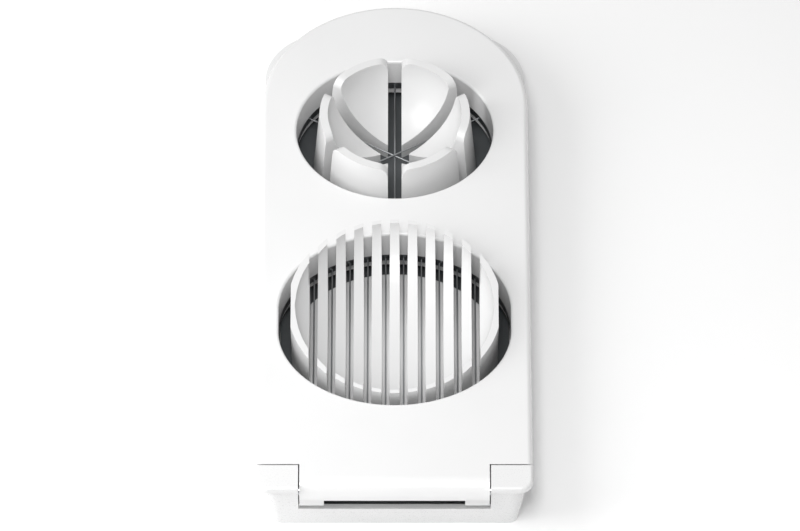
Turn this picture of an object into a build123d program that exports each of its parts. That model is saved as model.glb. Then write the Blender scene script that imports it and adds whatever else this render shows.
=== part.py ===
"""Two-station egg slicer: a slicing cradle and a wedging cup under one hinged wire lid.

Millimetres. X runs across the body, +Y runs from the hinge to the free end, +Z is up.
The origin is on the table, under the middle of the body. The lid is closed.
"""
from build123d import *
from math import cos, radians, sin, sqrt, tan
import os

os.makedirs("parts", exist_ok=True)

# ---------------------------------------------------------------- driving dimensions
BODY_LENGTH = 201.5
NEAR_END = -BODY_LENGTH / 2
FAR_END = BODY_LENGTH / 2
DRAFT = 9.0

# lid
LID_WIDTH = 86.0
LID_TOP = 22.5
LID_UNDERSIDE = 9.2
LID_SKIN = 2.0
LID_EDGE_ROUND = 1.7
ARCH_DEPTH = 42.5
ARCH_Y = FAR_END - ARCH_DEPTH
COLLAR_WALL = 2.0
COLLAR_FOOT = 12.3
WINDOW_EDGE_ROUND = 0.9

# hinge
HINGE_Y = NEAR_END + 4.5
HINGE_Z = 16.0
EAR_INNER = 30.0
EAR_RADIUS = 8.15
EAR_EDGE_ROUND = 0.9
LID_HINGE_RADIUS = 8.42
TONGUE_GAP = 0.4
TONGUE_ROLL = 5.5
TONGUE_LIP_Z = 16.5
KNUCKLE_INNER = 22.0
KNUCKLE_RADIUS = 4.7
PIN_RADIUS = 1.5
PIN_CLEARANCE = 0.05
PIN_START = KNUCKLE_INNER + 1.0
PIN_END = EAR_INNER + 7.0

# base
FOOT_WIDTH = 77.4
FOOT_NEAR = NEAR_END + 4.3
FOOT_FAR = FAR_END - 2.8
NEAR_CORNER = 3.0
FAR_CORNER = 18.0
WALL = 2.0
DECK_TOP = 8.8
DECK_THICK = 2.0
RIM_THICK = 1.7
RIM_WIDTH = 84.6
RIM_FAR_CORNER = 20.5
LIP_UNDERSIDE = 20.3
LIP_CORNER = 4.0
BAY_FAR = NEAR_END + 13.0
LID_CAVITY_NEAR = NEAR_END + 15.0
HOLE_MARGIN = 0.6

# slicing station
SLICER_Y = NEAR_END + 68.8
SLICER_HALF_WIDTH = 36.75
SLICER_HALF_ROUND = 30.7
SLICER_HALF_STRAIGHT = 4.15
WIRE_RADIUS = 0.25
SLICE_PITCH = 5.7
SLICE_COUNT = 10
SLICE_WIRE_Z = 10.45
SLOT_WIDTH = 2.3
SLOT_DRAFT = 0.75
SLOT_FLOOR = 9.7
CRADLE_FOOT = (32.8, 29.3)
CRADLE_RIM = (33.8, 33.6)
CRADLE_TOP = 28.7       # at the middle of the rim
CRADLE_TILT = 4.2       # degrees that the rim rises towards the free end
CRADLE_BOWL = (31.3, 32.2, 17.4)

# wedging station
WEDGER_Y = NEAR_END + 148.0
WEDGER_HALF = (31.75, 29.0)
CUP_Y = NEAR_END + 147.0
CUP_TOP = 31.4
CUP_RIM_RADIUS = 24.2
CUP_FOOT_RADIUS = 26.7
CUP_BOWL_RADIUS = 21.6
CUP_BOWL_BOTTOM = 10.8
CUP_SLOT_WIDTH = 4.4
CUP_SLOT_FLOOR = 5.0
WEDGE_COUNT = 3
WEDGE_WIRE_LOW = 9.95
WEDGE_WIRE_STEP = 0.51

# wire frames under the lid, with their screws
FRAME_WIDTH = 3.8
FRAME_FOOT = 9.5
LUG_RADIUS = 3.0
LUG_OFFSET = 5.5
BOSS_RADIUS = 2.6
SCREW_RADIUS = 1.0
SCREW_HEAD_RADIUS = 1.9
SCREW_HEAD_HEIGHT = 1.1
SCREW_LENGTH = 8.0
SLICER_LUG_ANGLE = 50.0
WEDGER_LUG_ANGLE = 45.0

# plates that carry the cradle and the cup inside the base
PLATE_UNDERSIDE = 0.8
PLATE_TOP = 2.8
PLATE_GAP = 0.2
PLATE_JOIN = NEAR_END + 109.5

REACH = 60.0   # cutting tools run this far past the body
ABOVE = 40.0


# ---------------------------------------------------------------- shared outlines
def lid_outline(inset, near_y, height):
    """The lid's plan: a straight body with an elliptical far end."""
    with BuildSketch(Plane.XY.offset(height)) as plan:
        with Locations((0, (near_y + ARCH_Y) / 2)):
            Rectangle(LID_WIDTH - 2 * inset, ARCH_Y - near_y)
        with Locations((0, ARCH_Y)):
            Ellipse(LID_WIDTH / 2 - inset, ARCH_DEPTH - inset)
    return plan.sketch


def slicer_outline(margin, height):
    """The slicing window: two half ellipses with a short straight middle."""
    with BuildSketch(Plane.XY.offset(height)) as plan:
        with Locations((0, SLICER_Y - SLICER_HALF_STRAIGHT), (0, SLICER_Y + SLICER_HALF_STRAIGHT)):
            Ellipse(SLICER_HALF_WIDTH + margin, SLICER_HALF_ROUND + margin)
        with Locations((0, SLICER_Y)):
            Rectangle(2 * (SLICER_HALF_WIDTH + margin), 2 * SLICER_HALF_STRAIGHT)
    return plan.sketch


def wedger_outline(margin, height):
    """The wedging window."""
    with BuildSketch(Plane.XY.offset(height)) as plan:
        with Locations((0, WEDGER_Y)):
            Ellipse(WEDGER_HALF[0] + margin, WEDGER_HALF[1] + margin)
    return plan.sketch


def base_outline(inset, height):
    """The base's footprint: small corners at the hinge, large ones at the free end."""
    near = FOOT_NEAR + inset
    far = FOOT_FAR - inset
    with BuildSketch(Plane.XY.offset(height)) as plan:
        with Locations((0, (near + far) / 2)):
            Rectangle(FOOT_WIDTH - 2 * inset, far - near)
        fillet(plan.vertices().group_by(Axis.Y)[-1], FAR_CORNER - inset)
        fillet(plan.vertices().group_by(Axis.Y)[0], NEAR_CORNER - inset / 2)
    return plan.sketch


def lug_places(center_y, half_x, half_y, straight, angle):
    """Four screw places just outside an oval window, one in each quarter."""
    along = (cos(radians(angle)) / half_x, sin(radians(angle)) / half_y)
    size = sqrt(along[0] ** 2 + along[1] ** 2)
    x = half_x * cos(radians(angle)) + LUG_OFFSET * along[0] / size
    y = straight + half_y * sin(radians(angle)) + LUG_OFFSET * along[1] / size
    return [(sx * x, center_y + sy * y) for sx in (-1, 1) for sy in (-1, 1)]


slicer_lugs = lug_places(
    SLICER_Y, SLICER_HALF_WIDTH, SLICER_HALF_ROUND, SLICER_HALF_STRAIGHT, SLICER_LUG_ANGLE
)
wedger_lugs = lug_places(WEDGER_Y, WEDGER_HALF[0], WEDGER_HALF[1], 0.0, WEDGER_LUG_ANGLE)


def save(part, name):
    """Label a finished piece and write its STEP file."""
    part.label = name
    export_step(part, f"parts/{name}.step")


# ---------------------------------------------------------------- base shell
# everything that is cut away behind the ears, down to the rim
with BuildPart() as behind_ears:
    with Locations((0, HINGE_Y, DECK_TOP)):
        Box(2 * REACH, 2 * BODY_LENGTH, ABOVE, align=(Align.CENTER, Align.MIN, Align.MIN))
    with Locations((0, HINGE_Y, DECK_TOP)):
        Box(
            2 * REACH, EAR_RADIUS, HINGE_Z - DECK_TOP,
            align=(Align.CENTER, Align.MIN, Align.MIN), mode=Mode.SUBTRACT,
        )
    with Locations(Location((0, HINGE_Y, HINGE_Z), (0, 90, 0))):
        Cylinder(EAR_RADIUS, 2 * REACH, mode=Mode.SUBTRACT)

with BuildPart() as base_shell:
    extrude(base_outline(0, 0), amount=LIP_UNDERSIDE, taper=-DRAFT)
    # flush top lips of the two ears
    with BuildSketch(Plane.XY.offset(LIP_UNDERSIDE)) as lip:
        with Locations((0, NEAR_END)):
            Rectangle(LID_WIDTH, 2 * EAR_RADIUS, align=(Align.CENTER, Align.MIN))
        fillet(lip.vertices().group_by(Axis.Y)[0], LIP_CORNER)
    extrude(amount=LID_TOP - LIP_UNDERSIDE)
    fillet(
        base_shell.edges().group_by(Axis.Z)[-1].filter_by(lambda e: e.center().Y < HINGE_Y),
        EAR_EDGE_ROUND,
    )
    add(behind_ears.part, mode=Mode.SUBTRACT)
    # rim flange that the lid closes on
    with BuildSketch(Plane.XY.offset(DECK_TOP - RIM_THICK)) as rim:
        with Locations((0, BAY_FAR)):
            Rectangle(RIM_WIDTH, FAR_END - BAY_FAR, align=(Align.CENTER, Align.MIN))
        fillet(rim.vertices().group_by(Axis.Y)[-1], RIM_FAR_CORNER)
    extrude(amount=RIM_THICK)
    # open underside
    extrude(base_outline(WALL, 0), amount=DECK_TOP - DECK_THICK, taper=-DRAFT, mode=Mode.SUBTRACT)
    # hinge bay between the ears, with a pocket behind the front wall
    with Locations((0, NEAR_END - WALL, DECK_TOP)):
        Box(
            2 * EAR_INNER, BAY_FAR - NEAR_END + WALL, ABOVE,
            align=(Align.CENTER, Align.MIN, Align.MIN), mode=Mode.SUBTRACT,
        )
    with Locations((0, FOOT_NEAR + WALL - DECK_TOP * tan(radians(DRAFT)), DECK_THICK)):
        Box(
            2 * EAR_INNER, BAY_FAR - FOOT_NEAR - WALL + DECK_TOP * tan(radians(DRAFT)), ABOVE,
            align=(Align.CENTER, Align.MIN, Align.MIN), mode=Mode.SUBTRACT,
        )
    # wells that the cradle and the cup stand in
    extrude(slicer_outline(HOLE_MARGIN, 0), amount=ABOVE, mode=Mode.SUBTRACT)
    extrude(wedger_outline(HOLE_MARGIN, 0), amount=ABOVE, mode=Mode.SUBTRACT)
    # blind bores for the hinge pins
    with Locations(Location((0, HINGE_Y, HINGE_Z), (0, 90, 0))):
        Cylinder(PIN_RADIUS, 2 * PIN_END, mode=Mode.SUBTRACT)
save(base_shell.part, "base_shell")

# ---------------------------------------------------------------- slicing cradle
slot_places = [(SLICE_PITCH * (i - (SLICE_COUNT - 1) / 2), SLICER_Y) for i in range(SLICE_COUNT)]

rim_plane = Plane((0, SLICER_Y, CRADLE_TOP)).rotated((CRADLE_TILT, 0, 0))

with BuildPart() as cradle_bowl:
    Sphere(1)
    scale(by=CRADLE_BOWL)

with BuildPart() as slicer_cradle:
    # ribbed bowl, flaring upwards
    with BuildSketch(Plane.XY.offset(SLOT_FLOOR)):
        with Locations((0, SLICER_Y)):
            Ellipse(*CRADLE_FOOT)
    with BuildSketch(rim_plane):
        Ellipse(*CRADLE_RIM)
    loft()
    with Locations(Location(rim_plane)):
        add(cradle_bowl.part, mode=Mode.SUBTRACT)
    # slots that the slicing wires drop into
    with BuildSketch(Plane.XY.offset(SLOT_FLOOR)):
        with Locations(slot_places):
            Rectangle(SLOT_WIDTH, 2 * REACH)
    extrude(amount=ABOVE, taper=-SLOT_DRAFT, mode=Mode.SUBTRACT)
    # hollow column under the slots
    with BuildSketch(Plane.XY.offset(PLATE_UNDERSIDE)):
        with Locations((0, SLICER_Y)):
            Ellipse(*CRADLE_FOOT)
    extrude(amount=SLOT_FLOOR - PLATE_UNDERSIDE)
    # plate that closes the base below the cradle
    with BuildSketch(Plane.XY.offset(PLATE_UNDERSIDE)) as plate:
        add(base_outline(WALL + PLATE_GAP, PLATE_UNDERSIDE))
        with Locations((0, PLATE_JOIN - PLATE_GAP / 2)):
            Rectangle(2 * REACH, BODY_LENGTH, align=(Align.CENTER, Align.MIN), mode=Mode.SUBTRACT)
    extrude(amount=PLATE_TOP - PLATE_UNDERSIDE)
    with BuildSketch(Plane.XY):
        with Locations((0, SLICER_Y)):
            Ellipse(CRADLE_FOOT[0] - WALL, CRADLE_FOOT[1] - WALL)
    extrude(amount=SLOT_FLOOR - WALL, mode=Mode.SUBTRACT)
save(slicer_cradle.part, "slicer_cradle")

# ---------------------------------------------------------------- wedging cup
wedge_angles = [90.0 + 60.0 * i for i in range(WEDGE_COUNT)]

with BuildPart() as cup_bowl:
    Sphere(1)
    scale(by=(CUP_BOWL_RADIUS, CUP_BOWL_RADIUS, CUP_TOP - CUP_BOWL_BOTTOM))

with BuildPart() as wedger_cup:
    with BuildSketch(Plane.XY.offset(PLATE_UNDERSIDE)):
        with Locations((0, CUP_Y)):
            Circle(CUP_FOOT_RADIUS)
    with BuildSketch(Plane.XY.offset(CUP_TOP)):
        with Locations((0, CUP_Y)):
            Circle(CUP_RIM_RADIUS)
    loft()
    with Locations((0, CUP_Y, CUP_TOP)):
        add(cup_bowl.part, mode=Mode.SUBTRACT)
    # three straight slots make the six petals
    for angle in wedge_angles:
        with Locations(Location((0, CUP_Y, CUP_SLOT_FLOOR), (0, 0, angle))):
            Box(
                2 * REACH, CUP_SLOT_WIDTH, ABOVE,
                align=(Align.CENTER, Align.CENTER, Align.MIN), mode=Mode.SUBTRACT,
            )
    with BuildSketch(Plane.XY.offset(PLATE_UNDERSIDE)) as far_plate:
        add(base_outline(WALL + PLATE_GAP, PLATE_UNDERSIDE))
        with Locations((0, PLATE_JOIN + PLATE_GAP / 2)):
            Rectangle(2 * REACH, BODY_LENGTH, align=(Align.CENTER, Align.MAX), mode=Mode.SUBTRACT)
    extrude(amount=PLATE_TOP - PLATE_UNDERSIDE)
save(wedger_cup.part, "wedger_cup")

# ---------------------------------------------------------------- lid
tongue_half = EAR_INNER - TONGUE_GAP
front_slope = tan(radians(DRAFT))


def tongue_profile(inset):
    """Side view of the lid's rolled front edge, as a closed outline in the YZ plane."""
    roll = TONGUE_ROLL - inset
    center = (NEAR_END + TONGUE_ROLL, LID_TOP - TONGUE_ROLL)
    front = center[0] - roll
    top = center[1] + roll
    foot = TONGUE_LIP_Z if inset == 0 else TONGUE_LIP_Z - WALL
    back = BAY_FAR + WALL
    with BuildSketch(Plane.YZ) as side:
        with BuildLine():
            l1 = Line((back, top), (center[0], top))
            l2 = RadiusArc(l1 @ 1, (front, center[1]), -roll)
            l3 = Line(l2 @ 1, (front + (center[1] - foot) * front_slope, foot))
            l4 = Line(l3 @ 1, (back, foot))
            Line(l4 @ 1, l1 @ 0)
        make_face()
    return side.sketch


with BuildPart() as ear_clearance:
    with Locations(Location((0, HINGE_Y, HINGE_Z), (0, 90, 0))):
        Cylinder(LID_HINGE_RADIUS, 2 * REACH)
    with Locations((0, HINGE_Y, 0)):
        Box(2 * REACH, LID_HINGE_RADIUS, HINGE_Z, align=(Align.CENTER, Align.MIN, Align.MIN))
    with Locations((0, HINGE_Y, 0)):
        Box(2 * REACH, REACH, ABOVE, align=(Align.CENTER, Align.MAX, Align.MIN))
    Box(2 * tongue_half, 4 * BODY_LENGTH, 3 * ABOVE, mode=Mode.SUBTRACT)

with BuildPart() as knuckles:
    with Locations(Location((0, HINGE_Y, HINGE_Z), (0, 90, 0))):
        Cylinder(KNUCKLE_RADIUS, 2 * tongue_half)
    with Locations((0, NEAR_END + front_slope * (LID_TOP - HINGE_Z + KNUCKLE_RADIUS / 2), 0)):
        Box(2 * REACH, REACH, ABOVE, align=(Align.CENTER, Align.MAX, Align.MIN), mode=Mode.SUBTRACT)
    Box(2 * KNUCKLE_INNER, 4 * BODY_LENGTH, 3 * ABOVE, mode=Mode.SUBTRACT)

def is_window_edge(edge):
    """True for the edges that run round the two windows, inside the lid's outer edge."""
    box = edge.bounding_box()
    return box.max.X < LID_WIDTH / 2 - LID_SKIN - LID_EDGE_ROUND and box.min.Y > LID_CAVITY_NEAR


with BuildPart() as lid_frame:
    # main plate with its rounded outer edge
    extrude(lid_outline(0, HINGE_Y, LID_UNDERSIDE), amount=LID_TOP - LID_UNDERSIDE)
    fillet(
        lid_frame.edges().group_by(Axis.Z)[-1].filter_by(lambda e: e.center().Y > HINGE_Y + LID_EDGE_ROUND),
        LID_EDGE_ROUND,
    )
    # hollow underside, open downwards
    extrude(
        lid_outline(LID_SKIN, LID_CAVITY_NEAR, LID_UNDERSIDE),
        amount=LID_TOP - LID_SKIN - LID_UNDERSIDE, mode=Mode.SUBTRACT,
    )
    # make room at the hinge end, then add the rolled tongue
    with Locations((0, BAY_FAR, 0)):
        Box(2 * tongue_half, REACH, ABOVE, align=(Align.CENTER, Align.MAX, Align.MIN), mode=Mode.SUBTRACT)
    extrude(tongue_profile(0), amount=tongue_half, both=True)
    extrude(tongue_profile(LID_SKIN), amount=tongue_half - LID_SKIN, both=True, mode=Mode.SUBTRACT)
    add(knuckles.part)
    with Locations((0, BAY_FAR, 0)):
        Box(
            2 * (tongue_half - LID_SKIN), LID_CAVITY_NEAR - BAY_FAR + LID_SKIN, LID_TOP - LID_SKIN,
            align=(Align.CENTER, Align.MIN, Align.MIN), mode=Mode.SUBTRACT,
        )
    # collars round the two windows
    extrude(slicer_outline(COLLAR_WALL, COLLAR_FOOT), amount=LID_TOP - COLLAR_FOOT - LID_SKIN / 2)
    extrude(wedger_outline(COLLAR_WALL, COLLAR_FOOT), amount=LID_TOP - COLLAR_FOOT - LID_SKIN / 2)
    # screw bosses that carry the wire frames
    with BuildSketch(Plane.XY.offset(COLLAR_FOOT)):
        with Locations(slicer_lugs + wedger_lugs):
            Circle(BOSS_RADIUS)
    extrude(amount=LID_TOP - COLLAR_FOOT - LID_SKIN / 2)
    # windows and hinge bore
    extrude(slicer_outline(0, 0), amount=ABOVE, mode=Mode.SUBTRACT)
    extrude(wedger_outline(0, 0), amount=ABOVE, mode=Mode.SUBTRACT)
    fillet(lid_frame.edges().group_by(Axis.Z)[-1].filter_by(is_window_edge), WINDOW_EDGE_ROUND)
    add(ear_clearance.part, mode=Mode.SUBTRACT)
    with Locations(Location((0, HINGE_Y, HINGE_Z), (0, 90, 0))):
        Cylinder(PIN_RADIUS + PIN_CLEARANCE, 2 * REACH, mode=Mode.SUBTRACT)
    # pilot holes for the frame screws
    with BuildSketch(Plane.XY.offset(FRAME_FOOT)):
        with Locations(slicer_lugs + wedger_lugs):
            Circle(SCREW_RADIUS)
    extrude(amount=SCREW_LENGTH, mode=Mode.SUBTRACT)
save(lid_frame.part, "lid_frame")

# ---------------------------------------------------------------- wires
def oval_half(x, half_x, half_y, straight):
    """Half length of an oval window measured along Y at a given X."""
    return straight + half_y * sqrt(1 - (x / half_x) ** 2)


slice_wires = []
for x, _ in slot_places:
    half = oval_half(x, SLICER_HALF_WIDTH, SLICER_HALF_ROUND, SLICER_HALF_STRAIGHT) + FRAME_WIDTH / 2
    with BuildPart(Plane.XZ.offset(-SLICER_Y)) as wire:
        with Locations((x, SLICE_WIRE_Z, 0)):
            Cylinder(WIRE_RADIUS, 2 * half)
    slice_wires.append(wire.part)
for number, wire_part in enumerate(slice_wires, 1):
    save(wire_part, f"slicing_wire_{number:02d}")

wedge_wires = []
for number, angle in enumerate(wedge_angles):
    along = (cos(radians(angle)) / WEDGER_HALF[0], sin(radians(angle)) / WEDGER_HALF[1])
    half = 1 / sqrt(along[0] ** 2 + along[1] ** 2) + FRAME_WIDTH / 2
    height = WEDGE_WIRE_LOW + number * WEDGE_WIRE_STEP
    with BuildPart() as wire:
        with Locations(Location((0, CUP_Y, height), (0, 0, angle)) * Location((0, 0, 0), (0, 90, 0))):
            Cylinder(WIRE_RADIUS, 2 * half)
    wedge_wires.append(wire.part)
for number, wire_part in enumerate(wedge_wires, 1):
    save(wire_part, f"wedge_wire_{number}")


# ---------------------------------------------------------------- wire frames and screws
def frame_ring(outline, lugs, wires):
    """A flat steel ring under a collar, with four screw lugs and a hole for each wire end."""
    with BuildPart() as ring:
        extrude(outline(FRAME_WIDTH, FRAME_FOOT), amount=COLLAR_FOOT - FRAME_FOOT)
        with BuildSketch(Plane.XY.offset(FRAME_FOOT)):
            with Locations(lugs):
                Circle(LUG_RADIUS)
        extrude(amount=COLLAR_FOOT - FRAME_FOOT)
        extrude(outline(0, 0), amount=ABOVE, mode=Mode.SUBTRACT)
        for wire_part in wires:
            add(wire_part, mode=Mode.SUBTRACT)
        for screw in frame_screws(lugs):
            add(screw, mode=Mode.SUBTRACT)
    return ring.part


def frame_screws(lugs):
    """Countersunk screws, heads level with the ring's underside."""
    screws = []
    for x, y in lugs:
        with BuildPart() as screw:
            with Locations((x, y, FRAME_FOOT)):
                Cone(
                    SCREW_HEAD_RADIUS, SCREW_RADIUS, SCREW_HEAD_HEIGHT,
                    align=(Align.CENTER, Align.CENTER, Align.MIN),
                )
                Cylinder(SCREW_RADIUS, SCREW_LENGTH, align=(Align.CENTER, Align.CENTER, Align.MIN))
        screws.append(screw.part)
    return screws


save(frame_ring(slicer_outline, slicer_lugs, slice_wires), "slicing_wire_frame")
save(frame_ring(wedger_outline, wedger_lugs, wedge_wires), "wedge_wire_ring")
for name, lugs in (("slicing_frame_screws", slicer_lugs), ("wedge_ring_screws", wedger_lugs)):
    save(Compound(children=frame_screws(lugs)), name)

# ---------------------------------------------------------------- hinge pins
for name, side in (("hinge_pin_left", -1), ("hinge_pin_right", 1)):
    with BuildPart() as pin:
        with Locations(Location((side * PIN_START, HINGE_Y, HINGE_Z), (0, 90 * side, 0))):
            Cylinder(PIN_RADIUS, PIN_END - PIN_START, align=(Align.CENTER, Align.CENTER, Align.MIN))
    save(pin.part, name)
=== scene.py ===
"""Egg slicer with a slicing cradle and a wedging cup: the looks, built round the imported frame."""
import bmesh
import bpy
from math import asin, cos, pi, radians, sin, sqrt
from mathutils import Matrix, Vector


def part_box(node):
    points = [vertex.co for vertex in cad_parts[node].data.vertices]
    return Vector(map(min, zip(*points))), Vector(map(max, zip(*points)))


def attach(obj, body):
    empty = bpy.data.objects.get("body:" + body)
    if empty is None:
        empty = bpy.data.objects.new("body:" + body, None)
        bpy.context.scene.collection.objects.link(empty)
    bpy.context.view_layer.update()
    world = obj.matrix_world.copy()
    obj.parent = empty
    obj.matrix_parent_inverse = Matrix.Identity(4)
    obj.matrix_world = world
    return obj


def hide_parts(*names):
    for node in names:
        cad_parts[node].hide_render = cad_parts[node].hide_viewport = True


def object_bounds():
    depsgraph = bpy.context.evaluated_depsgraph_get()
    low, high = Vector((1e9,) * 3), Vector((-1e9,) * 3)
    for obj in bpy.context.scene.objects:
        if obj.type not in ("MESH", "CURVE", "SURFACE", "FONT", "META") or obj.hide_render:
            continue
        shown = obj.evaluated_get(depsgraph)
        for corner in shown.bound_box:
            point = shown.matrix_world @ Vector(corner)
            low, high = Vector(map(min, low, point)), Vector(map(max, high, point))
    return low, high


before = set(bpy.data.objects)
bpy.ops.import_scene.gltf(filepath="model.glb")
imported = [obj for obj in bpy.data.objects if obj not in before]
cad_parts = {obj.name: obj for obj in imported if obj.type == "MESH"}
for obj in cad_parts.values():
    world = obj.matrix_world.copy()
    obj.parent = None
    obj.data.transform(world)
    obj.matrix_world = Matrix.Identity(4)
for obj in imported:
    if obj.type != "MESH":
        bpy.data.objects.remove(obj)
cad_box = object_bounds()
MM = 0.001


def span(node):
    """A CAD node's lowest and highest corners, in millimetres."""
    low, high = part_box(node)
    return low / MM, high / MM


# ---------------------------------------------------------------- sizes read from the frame
lid_top = span("lid_frame")[1].z
cradle_low, cradle_high = span("slicer_cradle")
cup_low, cup_high = span("wedger_cup")
ring_low, ring_high = span("slicing_wire_frame")
wedge_low, wedge_high = span("wedge_wire_1")
first_wire = span("slicing_wire_01")
second_wire = span("slicing_wire_02")

# slicing cradle, in millimetres
SLICE_COUNT = 10
SLICER_Y = (ring_low.y + ring_high.y) / 2
SLICE_PITCH = second_wire[0].x - first_wire[0].x
SLOT_WIDTH = 2.3
SLOT_SPREAD = 0.0262          # widening of a slot per mm of height
SLOT_FLOOR = first_wire[0].z - 0.5
CRADLE_SLOPE = 0.0734         # rise of the rim per mm towards the free end
PLATE_UNDERSIDE = cradle_low.z
PLATE_THICK = 2.0
NEAR_CORNER = 2.2
FAR_CORNER = 16.2
CRADLE_FOOT = (32.8, 29.3)
CRADLE_RIM = (33.8, 33.5)
CRADLE_TOP = cradle_high.z - CRADLE_SLOPE * CRADLE_RIM[1]
CRADLE_BOWL_BOTTOM = 11.3
CRADLE_BOWL = (31.3, 32.2, CRADLE_TOP - CRADLE_BOWL_BOTTOM)
RIB_EDGE = 0.5

# wedging cup, in millimetres
CUP_Y = (wedge_low.y + wedge_high.y) / 2
CUP_TOP = cup_high.z
CUP_RIM = 24.2
CUP_FOOT = 26.7
CUP_BOWL_BOTTOM = 10.8
CUP_BOWL = (21.6, CUP_TOP - CUP_BOWL_BOTTOM)
CUP_SLOT = 4.4
CUP_SLOT_FLOOR = 5.0
PETALS = 6
PETAL_CORNER = 3.3
PETAL_EDGE = 0.6


# ---------------------------------------------------------------- materials
def linear(code):
    """An sRGB hex colour as linear red, green, blue and alpha."""
    parts = [int(code[i:i + 2], 16) / 255 for i in (1, 3, 5)]
    return [c / 12.92 if c <= 0.04045 else ((c + 0.055) / 1.055) ** 2.4 for c in parts] + [1.0]


def add_node(tree, kind, inputs, **settings):
    """Adds one shader node; inputs maps a socket's name or number to a value or another node's output."""
    node = tree.nodes.new(kind)
    for key, value in settings.items():
        setattr(node, key, value)
    for key, value in inputs.items():
        if isinstance(value, bpy.types.NodeSocket):
            tree.links.new(value, node.inputs[key])
        else:
            node.inputs[key].default_value = value
    return node


def blank_material(name):
    material = bpy.data.materials.new(name)
    material.use_nodes = True
    material.node_tree.nodes.clear()
    return material, material.node_tree


def close_material(tree, shader):
    add_node(tree, "ShaderNodeOutputMaterial", {"Surface": shader.outputs["BSDF"]})


def moulded_abs(name, colour, shade, roughness):
    """Injection-moulded ABS: an even gloss with a faint flow mottle and a slight orange-peel skin."""
    material, tree = blank_material(name)
    place = add_node(tree, "ShaderNodeTexCoord", {})
    flow_size = 34.0    # mm across one cloud of the melt's flow mottle
    peel_size = 1.6     # mm across one orange-peel dimple, coarser than real so that it shows
    fine_size = 0.35    # mm across the finest grain of the mould's polish
    flow = add_node(
        tree, "ShaderNodeTexNoise",
        {"Vector": place.outputs["Object"], "Scale": 1 / (flow_size * MM), "Detail": 3.0},
    )
    peel = add_node(
        tree, "ShaderNodeTexNoise",
        {"Vector": place.outputs["Object"], "Scale": 1 / (peel_size * MM), "Detail": 2.0},
    )
    fine = add_node(
        tree, "ShaderNodeTexNoise",
        {"Vector": place.outputs["Object"], "Scale": 1 / (fine_size * MM), "Detail": 1.0},
    )
    tint = add_node(
        tree, "ShaderNodeMix", {0: flow.outputs["Fac"], 6: linear(colour), 7: linear(shade)}, data_type="RGBA"
    )
    gloss = add_node(
        tree, "ShaderNodeMapRange",
        {"Value": fine.outputs["Fac"], "To Min": roughness - 0.04, "To Max": roughness + 0.05},
    )
    skin = add_node(
        tree, "ShaderNodeBump",
        {"Height": peel.outputs["Fac"], "Strength": 0.04, "Distance": 0.03 * MM},
    )
    shader = add_node(
        tree, "ShaderNodeBsdfPrincipled",
        {
            "Base Color": tint.outputs[2], "Roughness": gloss.outputs["Result"],
            "Normal": skin.outputs["Normal"], "IOR": 1.54,
        },
    )
    close_material(tree, shader)
    return material


def drawn_steel(name, colour, roughness, grain):
    """Stainless steel with the fine lengthwise lines that drawing or stamping leaves."""
    material, tree = blank_material(name)
    place = add_node(tree, "ShaderNodeTexCoord", {})
    stretch = add_node(
        tree, "ShaderNodeMapping", {"Vector": place.outputs["Object"], "Scale": (1.0, 0.05, 1.0)}
    )
    lines = add_node(
        tree, "ShaderNodeTexNoise",
        {"Vector": stretch.outputs["Vector"], "Scale": 1 / (grain * MM), "Detail": 4.0},
    )
    gloss = add_node(
        tree, "ShaderNodeMapRange",
        {"Value": lines.outputs["Fac"], "To Min": roughness - 0.08, "To Max": roughness + 0.1},
    )
    marks = add_node(
        tree, "ShaderNodeBump",
        {"Height": lines.outputs["Fac"], "Strength": 0.12, "Distance": 0.02 * MM},
    )
    shader = add_node(
        tree, "ShaderNodeBsdfPrincipled",
        {
            "Base Color": linear(colour), "Metallic": 1.0, "Roughness": gloss.outputs["Result"],
            "Normal": marks.outputs["Normal"],
        },
    )
    close_material(tree, shader)
    return material


def studio_sweep(name):
    """Matt white paper for the floor."""
    material, tree = blank_material(name)
    place = add_node(tree, "ShaderNodeTexCoord", {})
    fibre_size = 1.1    # mm across one clump of paper fibres
    fibre = add_node(
        tree, "ShaderNodeTexNoise",
        {"Vector": place.outputs["Object"], "Scale": 1 / (fibre_size * MM), "Detail": 3.0},
    )
    skin = add_node(
        tree, "ShaderNodeBump", {"Height": fibre.outputs["Fac"], "Strength": 0.03, "Distance": 0.1 * MM}
    )
    shader = add_node(
        tree, "ShaderNodeBsdfPrincipled",
        {"Base Color": linear("#FFFFFF"), "Roughness": 0.9, "Normal": skin.outputs["Normal"]},
    )
    close_material(tree, shader)
    return material


# white plastic: the lid's gloss is the sharpest of the outer mouldings, the base's a little duller; the
# inserts' white is a little darker, painted shade for the greyer look of the bowls
lid_plastic = moulded_abs("white_abs_lid", "#EDEDED", "#E7E7E7", 0.24)
base_plastic = moulded_abs("white_abs_base", "#EAEAEA", "#E4E4E4", 0.28)
insert_plastic = moulded_abs("white_abs_inserts", "#E6E6E6", "#E0E0E0", 0.24)
# dull grey plastic for the plates, painted shade: it stands in for the shade deep in the wells round the two
# stations
shade_grey_plastic = moulded_abs("grey_abs_painted_shade", "#585B5D", "#505355", 0.5)
wire_steel = drawn_steel("drawn_stainless_wire", "#B4B6B8", 0.36, 0.3)
frame_steel = drawn_steel("stamped_stainless_frame", "#8E9092", 0.36, 0.5)
pin_steel = drawn_steel("ground_stainless_pin", "#C8CACC", 0.2, 0.2)


# ---------------------------------------------------------------- mesh building
def loft_loops(mesh, loops):
    """Joins closed loops of equal length with quads and caps both ends."""
    rings = [[mesh.verts.new(point * MM) for point in loop] for loop in loops]
    count = len(rings[0])
    for ring, following in zip(rings, rings[1:]):
        for i in range(count):
            j = (i + 1) % count
            mesh.faces.new((ring[i], ring[j], following[j], following[i]))
    mesh.faces.new(list(reversed(rings[0])))
    mesh.faces.new(rings[-1])


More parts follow.
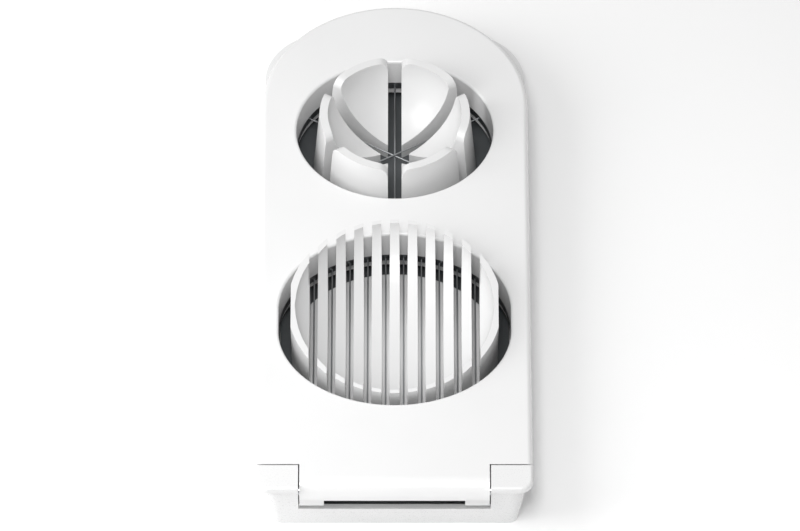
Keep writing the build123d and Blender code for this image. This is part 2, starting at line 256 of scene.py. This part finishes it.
def finish_piece(name, mesh, body, nodes, materials, edge):
    """Turns a bmesh into a smooth-shaded piece with rounded edges, standing for CAD nodes."""
    bmesh.ops.recalc_face_normals(mesh, faces=mesh.faces)
    data = bpy.data.meshes.new(name)
    mesh.to_mesh(data)
    mesh.free()
    data.shade_smooth()
    piece = bpy.data.objects.new(name, data)
    bpy.context.scene.collection.objects.link(piece)
    for material in materials:
        data.materials.append(material)
    if edge:
        bevel = piece.modifiers.new("rounded_edges", "BEVEL")
        bevel.width = edge * MM
        bevel.segments = 3
        bevel.limit_method = "ANGLE"
        bevel.angle_limit = radians(38)
        bevel.use_clamp_overlap = True
    piece.modifiers.new("even_shading", "WEIGHTED_NORMAL").keep_sharp = True
    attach(piece, body)
    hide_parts(*nodes)
    return piece


def oval(half_x, half_y, centre_y, z, steps=128):
    return [
        Vector((half_x * cos(2 * pi * i / steps), centre_y + half_y * sin(2 * pi * i / steps), z))
        for i in range(steps)
    ]


def along_oval(half_x, half_y, x):
    """Half length of an oval at a given x."""
    return half_y * sqrt(max(0.0, 1 - (x / half_x) ** 2))


# ---------------------------------------------------------------- slicing cradle
def rib_section(x, foot_z, lean=0.0):
    """Side view of one rib: over the rim, down through the bowl and out again; lean is its draft."""
    bowl_x, bowl_y, depth = CRADLE_BOWL
    foot = along_oval(*CRADLE_FOOT, x)
    rim = along_oval(*CRADLE_RIM, x)
    tip = max(along_oval(bowl_x, bowl_y, x), 0.02 * rim)
    steps = 44
    profile = []
    for i in range(steps + 1):
        y = -tip * cos(pi * i / steps)
        inside = max(0.0, 1 - (x / bowl_x) ** 2 - (y / bowl_y) ** 2)
        profile.append((y, CRADLE_TOP + CRADLE_SLOPE * y - depth * sqrt(inside)))
    profile += [(rim, CRADLE_TOP + CRADLE_SLOPE * rim), (foot, foot_z)]
    profile += [(-foot, foot_z), (-rim, CRADLE_TOP - CRADLE_SLOPE * rim)]
    return [Vector((x - lean * (z - foot_z), SLICER_Y + y, z)) for y, z in profile]


def build_cradle():
    mesh = bmesh.new()
    half_rib = (SLICE_PITCH - SLOT_WIDTH) / 2
    foot_z = SLOT_FLOOR - 0.5
    for number in range(1, SLICE_COUNT):
        centre = SLICE_PITCH * (number - SLICE_COUNT / 2)
        spread = SLOT_SPREAD / 2
        loft_loops(mesh, [rib_section(centre + half_rib * f, foot_z, spread * f) for f in (-1, 0, 1)])
    inner = SLICE_PITCH * (SLICE_COUNT - 1) / 2 + SLOT_WIDTH / 2
    outer = CRADLE_FOOT[0] - 0.02
    for side in (-1, 1):
        loops = []
        for i in range(17):
            reach_out = sin(pi / 2 * i / 16)
            x = inner + (outer - inner) * reach_out
            loops.append(rib_section(side * x, foot_z, -side * SLOT_SPREAD / 2 * (1 - reach_out)))
        loft_loops(mesh, loops)
    # column with the slot floors on top
    soft = 0.9
    loops = [
        oval(*CRADLE_FOOT, SLICER_Y, PLATE_UNDERSIDE),
        oval(*CRADLE_FOOT, SLICER_Y, SLOT_FLOOR - soft),
    ]
    for i in range(1, 5):
        turn = pi / 2 * i / 4
        inset = soft * (1 - cos(turn))
        loops.append(oval(CRADLE_FOOT[0] - inset, CRADLE_FOOT[1] - inset, SLICER_Y,
                          SLOT_FLOOR - soft + soft * sin(turn)))
    loft_loops(mesh, loops)
    return mesh


def plate(mesh, low, high, near_corner, far_corner):
    """The flat plate that closes the base under a station, in the second material, the grey that paints the
    shade of the well.
    """
    others = set(mesh.faces)
    corners = [
        (high.x, high.y, -1, -1, far_corner, 0), (low.x, high.y, 1, -1, far_corner, 1),
        (low.x, low.y, 1, 1, near_corner, 2), (high.x, low.y, -1, 1, near_corner, 3),
    ]
    outline = []
    for x, y, inward_x, inward_y, radius, quarter in corners:
        for i in range(9):
            turn = pi / 2 * (quarter + i / 8)
            outline.append((x + radius * (inward_x + cos(turn)), y + radius * (inward_y + sin(turn))))
    loft_loops(mesh, [
        [Vector((x, y, z)) for x, y in outline] for z in (PLATE_UNDERSIDE, PLATE_UNDERSIDE + PLATE_THICK)
    ])
    for face in mesh.faces:
        if face not in others:
            face.material_index = 1


# ---------------------------------------------------------------- wedging cup
def petal_section(middle, side):
    """One radial section of a petal; side runs from -1 to 1 across it."""
    steps = 30
    tip = CUP_SLOT / 2 / sin(pi / PETALS) + 0.25
    bowl_r, depth = CUP_BOWL
    profile = [(tip, CUP_SLOT_FLOOR - 1)]
    for i in range(steps + 1):
        turn = i / steps
        r = tip + (bowl_r - tip) * sin(pi / 2 * turn)
        profile.append((r, CUP_TOP - depth * sqrt(max(0.0, 1 - (r / bowl_r) ** 2))))
    profile += [(bowl_r + (CUP_RIM - bowl_r) * f, CUP_TOP) for f in (0.33, 0.67, 1.0)]
    floor_z = CUP_SLOT_FLOOR - 1
    for f in (0.06, 0.14, 0.24, 0.4, 0.6, 0.8, 1.0):
        z = CUP_TOP + (floor_z - CUP_TOP) * f
        share = (CUP_TOP - z) / (CUP_TOP - PLATE_UNDERSIDE)
        profile.append((CUP_RIM + (CUP_FOOT - CUP_RIM) * share, z))
    points = []
    for r, z in profile:
        half = pi / PETALS - asin(min(1.0, CUP_SLOT / 2 / r))
        edge = r * half * (1 - abs(side))
        if edge < PETAL_CORNER:
            cap = CUP_TOP - PETAL_CORNER + sqrt(PETAL_CORNER ** 2 - (PETAL_CORNER - edge) ** 2)
            z = min(z, cap)
        angle = middle + side * half
        points.append(Vector((r * cos(angle), CUP_Y + r * sin(angle), z)))
    return points


def build_cup():
    mesh = bmesh.new()
    sides = [-1, -0.985, -0.95, -0.9, -0.83, -0.74, -0.6, -0.4, -0.2, 0]
    sides += [-side for side in reversed(sides[:-1])]
    for number in range(PETALS):
        middle = 2 * pi * number / PETALS
        loft_loops(mesh, [petal_section(middle, side) for side in sides])
    # the foot column under the slots takes the second material: grey painted shade on the slot floors
    others = set(mesh.faces)
    loft_loops(mesh, [
        oval(CUP_FOOT, CUP_FOOT, CUP_Y, PLATE_UNDERSIDE),
        oval(CUP_FOOT - 0.3, CUP_FOOT - 0.3, CUP_Y, CUP_SLOT_FLOOR),
    ])
    for face in mesh.faces:
        if face not in others:
            face.material_index = 1
    return mesh


cradle_mesh = build_cradle()
plate(cradle_mesh, cradle_low, cradle_high, NEAR_CORNER, 0.1)
finish_piece(
    "ribbed_cradle", cradle_mesh, "base", ["slicer_cradle"],
    [insert_plastic, shade_grey_plastic], RIB_EDGE,
)
cup_mesh = build_cup()
plate(cup_mesh, cup_low, cup_high, 0.1, FAR_CORNER)
finish_piece(
    "petal_cup", cup_mesh, "base", ["wedger_cup"],
    [insert_plastic, shade_grey_plastic], PETAL_EDGE,
)


# ---------------------------------------------------------------- mouldings that keep their CAD shape
def smooth_copy(node, name, body, material):
    """A welded, smooth-shaded copy of a CAD moulding."""
    mesh = bmesh.new()
    mesh.from_mesh(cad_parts[node].data)
    bmesh.ops.remove_doubles(mesh, verts=mesh.verts, dist=0.005 * MM)
    for edge in mesh.edges:
        if len(edge.link_faces) == 2 and edge.calc_face_angle(0.0) > radians(30):
            edge.smooth = False
    return finish_piece(name, mesh, body, [node], [material], 0)


smooth_copy("lid_frame", "lid_moulding", "lid", lid_plastic)
smooth_copy("base_shell", "base_moulding", "base", base_plastic)

for node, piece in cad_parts.items():
    finish = wire_steel
    if "frame" in node or "ring" in node:
        finish = frame_steel
    if "pin" in node or "screws" in node:
        finish = pin_steel
    if node.startswith(("slicing", "wedge_", "hinge")):
        piece.data.materials.clear()
        piece.data.materials.append(finish)

# ---------------------------------------------------------------- floor, light and camera
object_low, object_high = cad_box
centre = (object_low + object_high) / 2
reach = 4.0
floor_data = bpy.data.meshes.new("floor")
floor_data.from_pydata(
    [(-reach, -reach, 0), (reach, -reach, 0), (reach, reach, 0), (-reach, reach, 0)], [], [(0, 1, 2, 3)]
)
floor = bpy.data.objects.new("floor", floor_data)
bpy.context.scene.collection.objects.link(floor)
floor_data.materials.append(studio_sweep("white_paper_sweep"))


def soft_box(name, place, target, size, power):
    light = bpy.data.lights.new(name, "AREA")
    light.shape = "RECTANGLE"
    light.size, light.size_y = size
    light.energy = power
    lamp = bpy.data.objects.new(name, light)
    lamp.location = place
    lamp.rotation_euler = (Vector(target) - Vector(place)).to_track_quat("-Z", "Y").to_euler()
    bpy.context.scene.collection.objects.link(lamp)


soft_box("key_front", (-0.04, -0.5, 0.9), centre, (0.22, 0.35), 4.0)
soft_box("fill_left", (-0.36, -0.12, 0.3), centre, (0.3, 0.4), 1.4)
soft_box("fill_top", (-0.25, -0.1, 1.4), centre, (1.0, 0.9), 1.5)

world = bpy.data.worlds.new("studio")
bpy.context.scene.world = world
world.use_nodes = True
world.node_tree.nodes["Background"].inputs["Color"].default_value = linear("#FFFFFF")
world.node_tree.nodes["Background"].inputs["Strength"].default_value = 0.42
bpy.context.scene.view_settings.view_transform = "Standard"

ELEVATION = 50.0
DISTANCE = 2.367
LENS = 335.0
AIM = Vector((centre.x + 0.0017, centre.y - 0.01025, object_low.z + lid_top * MM))
back = Vector((0, -cos(radians(ELEVATION)), sin(radians(ELEVATION))))
lens = bpy.data.cameras.new("camera")
lens.lens = LENS
camera = bpy.data.objects.new("camera", lens)
camera.location = AIM + back * DISTANCE
camera.rotation_euler = (-back).to_track_quat("-Z", "Y").to_euler()
lens.clip_start, lens.clip_end = 0.05, 50.0
bpy.context.scene.collection.objects.link(camera)
bpy.context.scene.camera = camera
